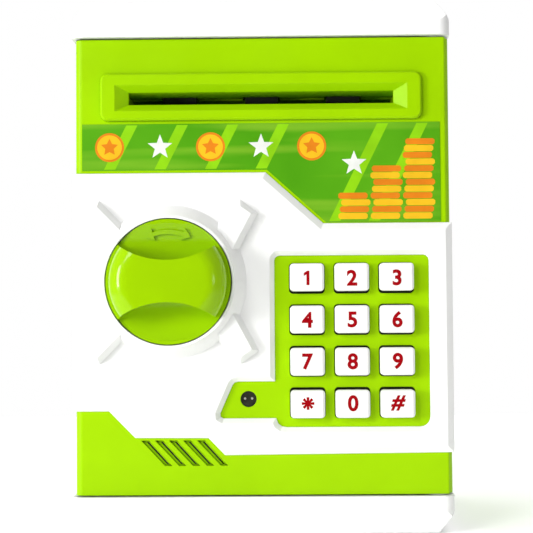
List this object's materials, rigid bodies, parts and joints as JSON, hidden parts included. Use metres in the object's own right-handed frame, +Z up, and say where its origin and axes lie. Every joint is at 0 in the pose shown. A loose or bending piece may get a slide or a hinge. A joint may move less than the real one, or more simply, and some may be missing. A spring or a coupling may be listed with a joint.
{
  "type": "toy safe coin bank",
  "caption": "Toy safe money bank: box with sloped caps, hinged door with keypad, turning lock knob, note slot and feeder, sliding bolt and coin slot on top.",
  "frame": {"origin": "centre of the bounding box at the table, door closed, bolt drawn back", "axes": "+Z up, the door faces -Y, +X to the right for someone facing the door"},
  "size_m": [0.135, 0.125, 0.19],
  "materials": {
    "green": "glossy moulded ABS",
    "green_gloss": "polished moulded ABS",
    "white": "satin moulded ABS",
    "label": "printed film",
    "key_white": "satin moulded ABS with printed legend",
    "screw_steel": "zinc plated",
    "spring_steel": "nickel plated",
    "steel": "plain steel",
    "motor_can": "zinc plated can",
    "cell_jacket": "film jacket",
    "cable": "PVC sheath",
    "silicone": "moulded silicone",
    "rubber": "moulded rubber",
    "board": "coated fibreglass",
    "dark_window": "smoked acrylic",
    "led_red": "tinted epoxy",
    "led_green": "tinted epoxy",
    "black_plastic": "moulded",
    "copper": "enamelled winding wire",
    "gear_plastic": "acetal",
    "brass": "turned brass"
  },
  "bodies": {
    "case": {"case_shell": "green", "top_cap": "white", "base_cap": "white", "battery_cover": "white", "battery_cover_screw": "screw_steel", "battery_contacts": "spring_steel", "battery_cell_1": "cell_jacket", "battery_cell_2": "cell_jacket", "battery_cell_3": "cell_jacket", "case_screws_lower": "screw_steel", "case_screws_upper": "screw_steel", "hinge_pin_lower": "steel", "hinge_pin_upper": "steel", "harness_base": "cable"},
    "door": {"door_shell": "green", "door_overlay": "white", "door_label": "label", "door_back_cover": "white", "door_screws": "screw_steel", "keypad_membrane": "silicone", "main_board": "board", "board_screws": "screw_steel", "led_lens": "dark_window", "led_red": "led_red", "led_green": "led_green", "speaker": "black_plastic", "harness_door": "cable", "note_guide": "green", "feed_motor": "motor_can", "idler_pin": "steel", "solenoid_frame": "steel", "solenoid_coil": "copper"},
    "key_1_body": {"key_1": "key_white"},
    "key_2_body": {"key_2": "key_white"},
    "key_3_body": {"key_3": "key_white"},
    "key_4_body": {"key_4": "key_white"},
    "key_5_body": {"key_5": "key_white"},
    "key_6_body": {"key_6": "key_white"},
    "key_7_body": {"key_7": "key_white"},
    "key_8_body": {"key_8": "key_white"},
    "key_9_body": {"key_9": "key_white"},
    "key_star_body": {"key_star": "key_white"},
    "key_0_body": {"key_0": "key_white"},
    "key_hash_body": {"key_hash": "key_white"},
    "knob_body": {"knob": "green_gloss", "latch_pinion": "gear_plastic", "knob_screw": "screw_steel"},
    "bolt_body": {"latch_bolt": "steel"},
    "plunger_body": {"lock_plunger": "steel"},
    "drive_body": {"drive_shaft": "steel", "drive_rollers": "rubber", "drive_gear": "gear_plastic"},
    "pinch_body": {"pinch_shaft": "steel", "pinch_rollers": "rubber"},
    "idler_body": {"idler_gear": "gear_plastic"},
    "motor_shaft_body": {"motor_pinion": "brass"}
  },
  "joints": [
    {"name": "door_hinge", "type": "hinge", "parent": "case", "child": "door", "pos_m": [0.0623, -0.0398, 0.095], "axis": [0, 0, 1], "range_deg": [0, 110]},
    {"name": "key_1_press", "type": "slide", "parent": "door", "child": "key_1_body", "axis": [0, 1, 0], "range_m": [0, 0.0012], "stiffness_N_per_m": 250, "springref_m": -0.001, "deforming": ["keypad_membrane"]},
    {"name": "key_2_press", "type": "slide", "parent": "door", "child": "key_2_body", "axis": [0, 1, 0], "range_m": [0, 0.0012], "stiffness_N_per_m": 250, "springref_m": -0.001, "deforming": ["keypad_membrane"]},
    {"name": "key_3_press", "type": "slide", "parent": "door", "child": "key_3_body", "axis": [0, 1, 0], "range_m": [0, 0.0012], "stiffness_N_per_m": 250, "springref_m": -0.001, "deforming": ["keypad_membrane"]},
    {"name": "key_4_press", "type": "slide", "parent": "door", "child": "key_4_body", "axis": [0, 1, 0], "range_m": [0, 0.0012], "stiffness_N_per_m": 250, "springref_m": -0.001, "deforming": ["keypad_membrane"]},
    {"name": "key_5_press", "type": "slide", "parent": "door", "child": "key_5_body", "axis": [0, 1, 0], "range_m": [0, 0.0012], "stiffness_N_per_m": 250, "springref_m": -0.001, "deforming": ["keypad_membrane"]},
    {"name": "key_6_press", "type": "slide", "parent": "door", "child": "key_6_body", "axis": [0, 1, 0], "range_m": [0, 0.0012], "stiffness_N_per_m": 250, "springref_m": -0.001, "deforming": ["keypad_membrane"]},
    {"name": "key_7_press", "type": "slide", "parent": "door", "child": "key_7_body", "axis": [0, 1, 0], "range_m": [0, 0.0012], "stiffness_N_per_m": 250, "springref_m": -0.001, "deforming": ["keypad_membrane"]},
    {"name": "key_8_press", "type": "slide", "parent": "door", "child": "key_8_body", "axis": [0, 1, 0], "range_m": [0, 0.0012], "stiffness_N_per_m": 250, "springref_m": -0.001, "deforming": ["keypad_membrane"]},
    {"name": "key_9_press", "type": "slide", "parent": "door", "child": "key_9_body", "axis": [0, 1, 0], "range_m": [0, 0.0012], "stiffness_N_per_m": 250, "springref_m": -0.001, "deforming": ["keypad_membrane"]},
    {"name": "key_star_press", "type": "slide", "parent": "door", "child": "key_star_body", "axis": [0, 1, 0], "range_m": [0, 0.0012], "stiffness_N_per_m": 250, "springref_m": -0.001, "deforming": ["keypad_membrane"]},
    {"name": "key_0_press", "type": "slide", "parent": "door", "child": "key_0_body", "axis": [0, 1, 0], "range_m": [0, 0.0012], "stiffness_N_per_m": 250, "springref_m": -0.001, "deforming": ["keypad_membrane"]},
    {"name": "key_hash_press", "type": "slide", "parent": "door", "child": "key_hash_body", "axis": [0, 1, 0], "range_m": [0, 0.0012], "stiffness_N_per_m": 250, "springref_m": -0.001, "deforming": ["keypad_membrane"]},
    {"name": "knob_turn", "type": "hinge", "parent": "door", "child": "knob_body", "pos_m": [-0.0326, -0.055, 0.08915], "axis": [0, 1, 0], "range_deg": [-90, 0]},
    {"name": "bolt_slide", "type": "slide", "parent": "door", "child": "bolt_body", "axis": [1, 0, 0], "range_m": [-0.00785, 0]},
    {"name": "plunger_slide", "type": "slide", "parent": "door", "child": "plunger_body", "axis": [0, 0, 1], "range_m": [-0.0025, 0], "stiffness_N_per_m": 60, "springref_m": 0.001},
    {"name": "drive_spin", "type": "hinge", "parent": "door", "child": "drive_body", "pos_m": [0, -0.028, 0.14975], "axis": [1, 0, 0], "continuous": true},
    {"name": "pinch_spin", "type": "hinge", "parent": "door", "child": "pinch_body", "pos_m": [0, -0.028, 0.15905], "axis": [1, 0, 0], "continuous": true},
    {"name": "idler_spin", "type": "hinge", "parent": "door", "child": "idler_body", "pos_m": [0.054, -0.02474, 0.13758], "axis": [1, 0, 0], "continuous": true},
    {"name": "motor_spin", "type": "hinge", "parent": "door", "child": "motor_shaft_body", "pos_m": [0.05, -0.02693, 0.12517], "axis": [1, 0, 0], "continuous": true}
  ],
  "couplings": [
    {"joint": "knob_turn", "follows": "bolt_slide", "rad_per_m": 200},
    {"joint": "pinch_spin", "follows": "drive_spin", "ratio": -1.25},
    {"joint": "idler_spin", "follows": "drive_spin", "ratio": -2.5},
    {"joint": "motor_spin", "follows": "drive_spin", "ratio": 6.25}
  ]
}
